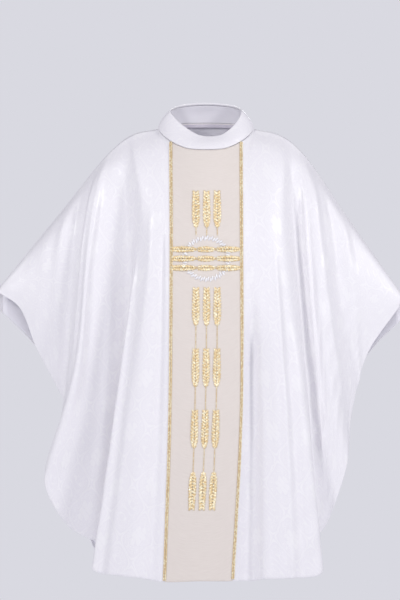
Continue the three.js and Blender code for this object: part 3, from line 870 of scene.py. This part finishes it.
def lay_ear(stitches, place, start, length, half, grains, fullness, turned=False):
    """place(across, along) turns the ear's own across and along into a place on the band."""
    for g in range(grains):
        share = (g + 0.5) / grains
        foot = start + share * length
        reach = half * fullness(share)
        if turned:
            foot = start + length - share * length
        rise = (length / grains) * (1.1 if turned else -1.1)
        for side in (-1, 1):
            inner = (side * 0.6 * MM, foot + rise * -0.4)
            outer = (side * (reach - 1.0 * MM), foot + rise * 0.7)
            place(stitches, inner, outer, length / grains * 0.45, GRAIN_HALF, GRAIN_LIFT)


def lay_stem(stitches, place, start, end):
    """A row of short slanting stitches."""
    slant = 1.2 * MM
    count = max(2, int(round((end - start) / STEM_PITCH)))
    for i in range(count):
        along = start + (i + 0.5) * (end - start) / count
        place(stitches, (-slant, along + slant), (slant, along - slant), 1.1 * MM, 0.9 * MM, 1.1 * MM)


def make_embroidery(word, face, band):
    made = []

    def finish(stitches, name, slot, material):
        piece = stitches.finish(name, material)
        belong(piece, slot, name.replace("_embroidered", ""))
        made.append(piece)

    def plain(shift):
        return lambda stitches, a, b, width, height, lift: band.stitch(
            stitches, (shift + a[0], a[1]), (shift + b[0], b[1]), width, height, lift
        )

    for i, where in enumerate(("left", "middle", "right")):
        place = plain((i - 1) * COLUMN_PITCH)
        first = Stitches()
        lay_ear(first, place, FIRST_EARS, EAR, EAR_HALF, EAR_GRAINS, standing_fullness)
        lay_stem(first, place, FIRST_EARS + EAR * STEM_FOOT, FIRST_EARS + EAR + TIP_STEM)
        finish(first, f"{word}_embroidered_first_ear_{where}", "gold_thread", GOLD)
        column = Stitches()
        start = LONG_EARS
        for ear in range(4):
            lay_ear(column, place, start, EAR, EAR_HALF, EAR_GRAINS, standing_fullness, turned=ear == 3)
            if ear < 3:
                lay_stem(column, place, start + EAR * STEM_FOOT, start + EAR + STEM + 1 * MM)
            start += EAR + STEM
        finish(column, f"{word}_embroidered_ear_column_{where}", "gold_thread", GOLD)

    ring = Stitches()
    lean = 0.05
    for i in range(RING_STITCHES):
        angle = 2 * math.pi * i / RING_STITCHES
        inner = RING_RADIUS - RING_WIDTH / 2 + (2.5 * MM if i % 2 else -1 * MM)
        outer = RING_RADIUS + RING_WIDTH / 2 + (1 * MM if i % 2 else -2 * MM)
        a = (inner * math.cos(angle), RING_CENTRE + inner * math.sin(angle))
        b = (outer * math.cos(angle + lean), RING_CENTRE + outer * math.sin(angle + lean))
        band.stitch(ring, a, b, 2.9 * MM, 1.2 * MM, 1.1 * MM)
    finish(ring, f"{word}_embroidered_host_ring", "white_thread", WHITE_THREAD)

    for i, where in enumerate(("upper", "middle", "lower")):
        length = RING_CENTRE + (i - 1) * ROW_PITCH
        row = Stitches()

        def crossing(stitches, a, b, width, height, lift, length=length, shift=0.0):
            middle = math.hypot((a[1] + b[1]) / 2, length - RING_CENTRE)
            lift += OVER_RING * (1 - float(fade(abs(middle - RING_RADIUS), 8 * MM, 16 * MM)))
            start, end = (a[1], length - (a[0] + shift)), (b[1], length - (b[0] + shift))
            band.stitch(stitches, start, end, width, height, lift)

        start = -(2 * ROW_EAR + ROW_MIDDLE + 2 * ROW_STEM) / 2
        for ear, size in enumerate((ROW_EAR, ROW_MIDDLE, ROW_EAR)):
            lay_ear(row, crossing, start, size, ROW_HALF, round(size / ROW_GRAIN), row_fullness)
            start += size
            if ear < 2:
                for strand in (-1, 0, 1):
                    beside = partial(crossing, shift=strand * ROW_STRANDS)
                    lay_stem(row, beside, start - 1 * MM, start + ROW_STEM)
                start += ROW_STEM
        finish(row, f"{word}_embroidered_ear_row_{where}", "gold_thread", GOLD)
    return made


# ---- Braid: two plaited strands over each seam of the band ----


def make_braid(name, face, column, node):
    path = face.grid[column]
    normal = face.normal[column]
    travelled = travelled_along(path)
    stitches = Stitches(round_steps=6)
    for i in range(int((travelled[-1] - 2 * MM) / BRAID_PITCH)):
        length = 1 * MM + (i + 0.5) * BRAID_PITCH
        centre, ahead = read_at([length, length + 1 * MM], travelled, path)
        out = read_at(length, travelled, normal)
        down = unit(ahead - centre)
        side = np.cross(out, down)
        for which in (-1, 1):
            middle = centre + side * which * BRAID_STRAND + out * 1.6 * MM
            along = down * 0.75 + side * which * 0.65
            stitches.lay(middle, along, out, 3.3 * MM, 1.8 * MM, 1.0 * MM)
    piece = stitches.finish(name, GOLD_BRAID)
    return belong(piece, "gold_braid", node)


# ---- Collar ----


def neck_seam(steps):
    """The neck seam from the middle of the front all the way round, and the way in from it."""
    seam = on_neck_ring(np.linspace(0, 1, steps + 1))
    return seam, unit(-seam * (1, 1, 0))


def collar_grid(steps, rows):
    """Columns run round the neck from the middle of the front, rows from the rim down to the seam."""
    seam, inwards = neck_seam(steps)
    front_share = np.clip(-seam[:, 1] / NECK_FRONT, 0, 1)
    back_share = np.clip(seam[:, 1] / NECK_BACK, 0, 1)
    height = COLLAR_SIDE + (COLLAR_FRONT - COLLAR_SIDE) * front_share
    height += (COLLAR_BACK - COLLAR_SIDE) * back_share
    up = 1 - np.linspace(0, 1, rows + 1)
    lean = COLLAR_LEAN * up - COLLAR_ROLL * np.sin(np.pi * up)
    grid = seam[:, None] + inwards[:, None] * lean[None, :, None]
    grid[:, :, 2] += COLLAR_CLEAR + height[:, None] * up[None]
    grid[:, :, 0] += COLLAR_TWIST * front_share[:, None] * up[None]
    return grid


def ring_normals(grid):
    down = np.gradient(grid, axis=1)
    across = np.empty_like(grid)
    across[1:-1] = grid[2:] - grid[:-2]
    across[0] = across[-1] = grid[1] - grid[-2]
    return unit(np.cross(down, across))


def make_ply(name, grid, material, thickness, slot, node):
    """One ply that runs right round the neck."""
    piece = new_object(name, sheet_mesh(name, grid, closed=True), material)
    give_thickness(piece, thickness)
    belong(piece, slot, node)


def make_collar():
    """The outside rolls over the rim and a little way down inside, where the facing takes over."""
    grid = collar_grid(steps=220, rows=18)
    normals = ring_normals(grid)
    rim, out = grid[:, 0], normals[:, 0]
    up = unit(grid[:, 0] - grid[:, 1])
    outer_face = grid + normals * 1.6 * MM
    over_rim = ((0.4, -1.9), (1.4, -1.4), (2.1, -0.3), (2.1, 0.6), (1.4, 1.4))
    roll = [rim + up * height * MM + out * depth * MM for height, depth in over_rim]
    under = [rim - up * 6 * MM - out * 1.9 * MM, rim - up * 3 * MM - out * 1.95 * MM]
    foot = grid[:, -1] + normals[:, -1] * 0.4 * MM
    foot[:, 2] -= 1.2 * MM
    outside = np.concatenate([np.stack(under + roll, axis=1), outer_face, foot[:, None]], axis=1)
    facing = (grid - normals * 0.7 * MM)[::-1, 2:]
    canvas = grid[:, 1:]
    make_ply("collar_outside_cloth", outside, DAMASK, COLLAR_CLOTH, "damask", "collar_outside")
    make_ply("collar_facing_cloth", facing, LINING_CLOTH, COLLAR_CLOTH, "lining", "collar_facing")
    make_ply("collar_canvas", canvas, TAPE, CANVAS, "canvas", "collar_interlining")


def make_stay_tape():
    seam, inwards = neck_seam(160)
    top = seam + inwards * TAPE_INSET
    rows = [top - (0, 0, (TAPE_BELOW + TAPE_WIDTH * share) * MM) for share in np.linspace(0, 1, 6)]
    make_ply("neck_tape", np.stack(rows, axis=1), TAPE, TAPE_THICK, "canvas", "neck_stay_tape")


# ---- The whole garment ----


def make_face(word, face, areas):
    """All pieces of one face. Its columns run from the viewer's left as that viewer sees it."""
    first_edge = face.column(face.middle_line - 1)
    last_edge = face.column(face.middle_line + 1)
    last = len(face.places) - 1
    first_word, last_word = ("left", "right") if face.face == FRONT else ("right", "left")
    for hand, start, end, area in (
        (first_word, 0, first_edge, areas[0]), (last_word, last_edge, last, areas[1])
    ):
        make_cloth(f"{word}_cloth_{hand}", face, start, end, f"{word}_panel_{hand}",
                   "damask", DAMASK)
    on_band = make_embroidery(word, face, BandPlace(face, first_edge, last_edge))
    for hand, edge in ((first_word, first_edge), (last_word, last_edge)):
        on_band.append(make_braid(f"{word}_plaited_braid_{hand}", face, edge, f"{word}_braid_{hand}"))
    make_cloth(f"{word}_centre_band", face, first_edge, last_edge, f"{word}_band",
               "cream_band", CREAM)
    make_lining(f"{word}_lining_cloth", face, f"{word}_lining")


make_face("front", front, (0.5, 0.47))
make_face("back", back, (0.46, 0.46))
make_collar()
make_stay_tape()

# ---- Studio: floor, camera, world and lights ----

FLOOR_LEVEL = -1.6
FLOOR_RADIUS = 12
CAMERA_DISTANCE = 40.0
VIEW_MIDDLE = (-0.0168, -0.479)
VIEW_HEIGHT = 1.68
SENSOR = 36
LIT_MIDDLE = (0, 0, -0.5)

scene = bpy.context.scene
scene.view_settings.view_transform = "Standard"


def make_floor():
    """A pale round floor below the hem; the world behind it is the plain backdrop."""
    material, s, shader = new_material(
        "pale_floor",
        Roughness=0.95,
        Specular_IOR_Level=0.1,
        Emission_Color=(0.46, 0.46, 0.5, 1),
        Emission_Strength=1.0,
    )
    tone = s.noise(object_place(s), 3.0)
    s.feed(shader.inputs["Base Color"], s.blend(tone, (0.3, 0.3, 0.32, 1), (0.32, 0.32, 0.34, 1)))
    bm = bmesh.new()
    bmesh.ops.create_circle(bm, cap_ends=True, segments=96, radius=FLOOR_RADIUS)
    bmesh.ops.translate(bm, verts=bm.verts, vec=(0, 0, FLOOR_LEVEL))
    mesh = bpy.data.meshes.new("floor")
    bm.to_mesh(mesh)
    bm.free()
    new_object("floor", mesh, material)


make_floor()

camera = bpy.data.objects.new("camera", bpy.data.cameras.new("camera"))
scene.collection.objects.link(camera)
camera.location = (VIEW_MIDDLE[0], -CAMERA_DISTANCE, VIEW_MIDDLE[1])
camera.rotation_euler = (math.radians(90), 0, 0)
camera.data.sensor_fit = "VERTICAL"
camera.data.sensor_height = SENSOR
camera.data.lens = SENSOR * CAMERA_DISTANCE / VIEW_HEIGHT
camera.data.clip_end = 90
scene.camera = camera

world = bpy.data.worlds.new("studio")
scene.world = world
world.use_nodes = True
nodes, links = world.node_tree.nodes, world.node_tree.links
lighting = nodes["Background"]
lighting.inputs["Color"].default_value = (0.76, 0.75, 0.86, 1)
lighting.inputs["Strength"].default_value = 0.55
# The eye sees a paler world than the one that lights the cloth, so that the folds keep their shade.
seen = nodes.new("ShaderNodeBackground")
seen.inputs["Color"].default_value = (0.694, 0.694, 0.753, 1)
choice = nodes.new("ShaderNodeMixShader")
links.new(nodes.new("ShaderNodeLightPath").outputs["Is Camera Ray"], choice.inputs[0])
links.new(lighting.outputs[0], choice.inputs[1])
links.new(seen.outputs[0], choice.inputs[2])
links.new(choice.outputs[0], nodes["World Output"].inputs["Surface"])


def area_light(name, place, size, power, colour):
    data = bpy.data.lights.new(name, "AREA")
    data.shape = "DISK"
    data.size = size
    data.energy = power
    data.color = colour
    lamp = bpy.data.objects.new(name, data)
    lamp.location = place
    lamp.rotation_euler = (Vector(LIT_MIDDLE) - Vector(place)).to_track_quat("-Z", "Y").to_euler()
    lamp.visible_camera = False
    scene.collection.objects.link(lamp)


area_light("key_left", (-3.3, -3.9, 1.8), 1.1, 92, (1, 0.99, 0.97))
area_light("key_right", (4.0, -2.9, 1.5), 1.2, 92, (1, 0.99, 0.97))
area_light("front_fill", (0.8, -6.0, 1.6), 2.5, 44, (0.97, 0.97, 1))
area_light("back_fill", (0.5, 6.0, 2.0), 3.0, 170, (0.98, 0.98, 1))
